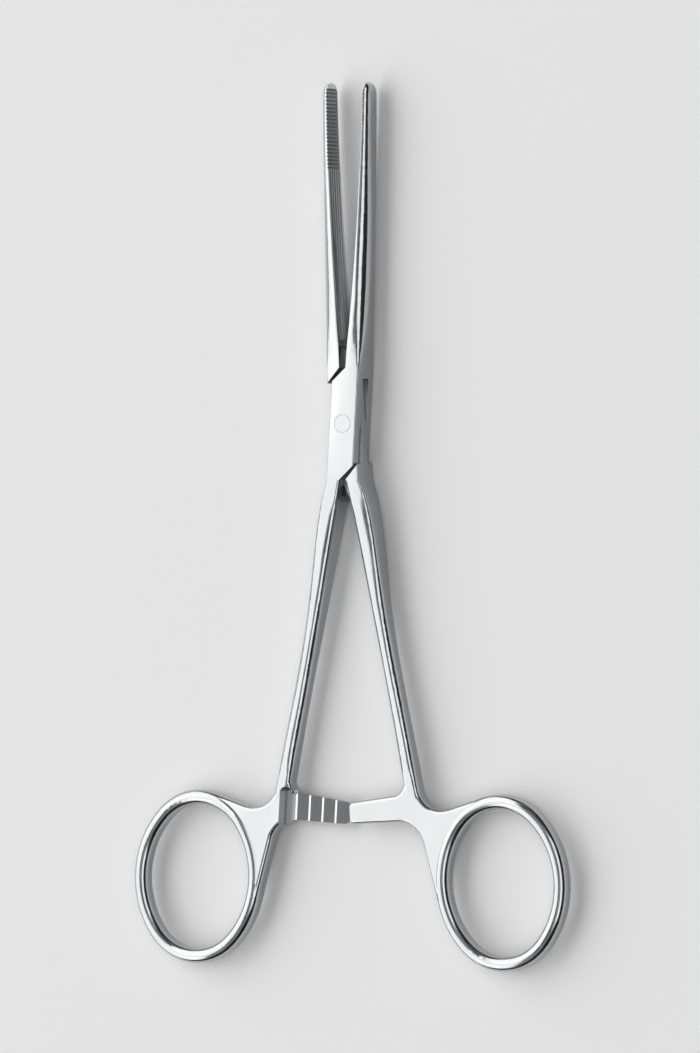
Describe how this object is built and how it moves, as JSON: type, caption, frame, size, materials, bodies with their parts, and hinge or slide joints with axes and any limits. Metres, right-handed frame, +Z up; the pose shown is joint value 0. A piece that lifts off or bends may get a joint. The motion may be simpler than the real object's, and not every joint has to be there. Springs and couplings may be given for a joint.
{
  "type": "hemostat forceps",
  "caption": "Long-jawed locking forceps of polished steel with a box lock, a ratchet between the shanks and finger rings.",
  "frame": {"origin": "pivot axis of the box lock, on the face that the box lies on", "axes": "+Z up along the pivot axis, +Y towards the jaws, +X to the right seen from above"},
  "size_m": [0.0896, 0.1592, 0.0056],
  "materials": {
    "steel": "satin polished",
    "rivet_steel": "ground flush and polished"
  },
  "bodies": {
    "female": {"female_half": "steel", "pivot_pin": "rivet_steel"},
    "male": {"male_half": "steel"}
  },
  "joints": [
    {"name": "box_lock", "type": "hinge", "parent": "female", "child": "male", "pos_m": [0, 0, 0.0028], "axis": [0, 0, 1], "range_deg": [-6.8, 45]}
  ]
}
